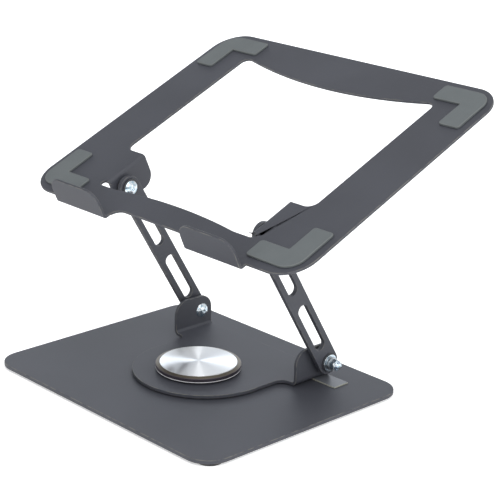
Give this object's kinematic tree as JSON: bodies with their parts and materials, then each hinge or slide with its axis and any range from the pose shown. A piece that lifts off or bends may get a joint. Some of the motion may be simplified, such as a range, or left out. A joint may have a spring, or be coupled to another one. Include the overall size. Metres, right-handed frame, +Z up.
{
  "type": "laptop stand",
  "caption": "Height-adjustable laptop stand of bent sheet steel: weighted base, swivel plate, slotted arms on friction pivots and a tray with a window, front lips and soft corner pads.",
  "frame": {"origin": "middle of the outer box in X and Y, on the surface that the feet stand on", "axes": "+X to the stand's right along its front edge, +Y to its back, +Z up"},
  "size_m": [0.298, 0.272, 0.2281],
  "materials": {
    "coated_steel": "satin powder coat, dark grey",
    "foot_rubber": "matte black rubber",
    "pad_silicone": "matte grey silicone",
    "glide_plastic": "smooth milky plastic over dark steel, with pale cut edges",
    "black_acetal": "smooth black plastic",
    "zinc_steel": "bright zinc plating",
    "spring_steel": "plated spring steel",
    "rim_steel": "dark turned steel with a warm bevel",
    "trim_plastic": "white plastic",
    "spun_aluminium": "circular spun lines"
  },
  "bodies": {
    "base": {"base_plate": "coated_steel", "foot_front_left": "foot_rubber", "foot_front_right": "foot_rubber", "foot_rear_left": "foot_rubber", "foot_rear_right": "foot_rubber", "swivel_stud": "zinc_steel", "swivel_washer": "zinc_steel", "swivel_nut": "zinc_steel"},
    "swivel": {"slip_disc": "black_acetal", "swivel_plate": "coated_steel", "glide_left": "glide_plastic", "glide_right": "glide_plastic", "hub_rim": "rim_steel", "hub_trim_ring": "trim_plastic", "hub_cap": "spun_aluminium", "lower_bolt_left": "zinc_steel", "lower_bolt_right": "zinc_steel", "lower_slip_washers_left": "black_acetal", "lower_slip_washers_right": "black_acetal", "lower_spacer_left": "zinc_steel", "lower_spacer_right": "zinc_steel", "lower_flat_washer_left": "zinc_steel", "lower_flat_washer_right": "zinc_steel", "lower_disc_springs_left": "spring_steel", "lower_disc_springs_right": "spring_steel", "lower_nut_left": "zinc_steel", "lower_nut_right": "zinc_steel"},
    "arms": {"arm_left": "coated_steel", "arm_right": "coated_steel"},
    "upper_pivots": {"upper_bolt_left": "zinc_steel", "upper_bolt_right": "zinc_steel", "upper_head_washer_left": "black_acetal", "upper_head_washer_right": "black_acetal", "upper_slip_washers_left": "black_acetal", "upper_slip_washers_right": "black_acetal", "upper_spacer_left": "zinc_steel", "upper_spacer_right": "zinc_steel", "upper_flat_washer_left": "zinc_steel", "upper_flat_washer_right": "zinc_steel", "upper_disc_springs_left": "spring_steel", "upper_disc_springs_right": "spring_steel", "upper_nut_left": "zinc_steel", "upper_nut_right": "zinc_steel"},
    "tray": {"tray_plate": "coated_steel", "pad_front_left": "pad_silicone", "pad_front_right": "pad_silicone", "pad_rear_left": "pad_silicone", "pad_rear_right": "pad_silicone"}
  },
  "joints": [
    {"name": "swivel_turn", "type": "hinge", "parent": "base", "child": "swivel", "pos_m": [0, -0.03255, 0.005], "axis": [0, 0, 1], "continuous": true},
    {"name": "arm_lift", "type": "hinge", "parent": "swivel", "child": "arms", "pos_m": [0, 0.03135, 0.0211], "axis": [1, 0, 0], "range_deg": [-20, 58]},
    {"name": "pivot_level", "type": "hinge", "parent": "arms", "child": "upper_pivots", "pos_m": [0, -0.03962, 0.13828], "axis": [1, 0, 0], "range_deg": [-58, 20]},
    {"name": "tray_tilt", "type": "hinge", "parent": "upper_pivots", "child": "tray", "pos_m": [0, -0.03962, 0.13828], "axis": [1, 0, 0], "range_deg": [-23.6, 6]}
  ],
  "couplings": [
    {"joint": "pivot_level", "follows": "arm_lift", "ratio": -1}
  ]
}
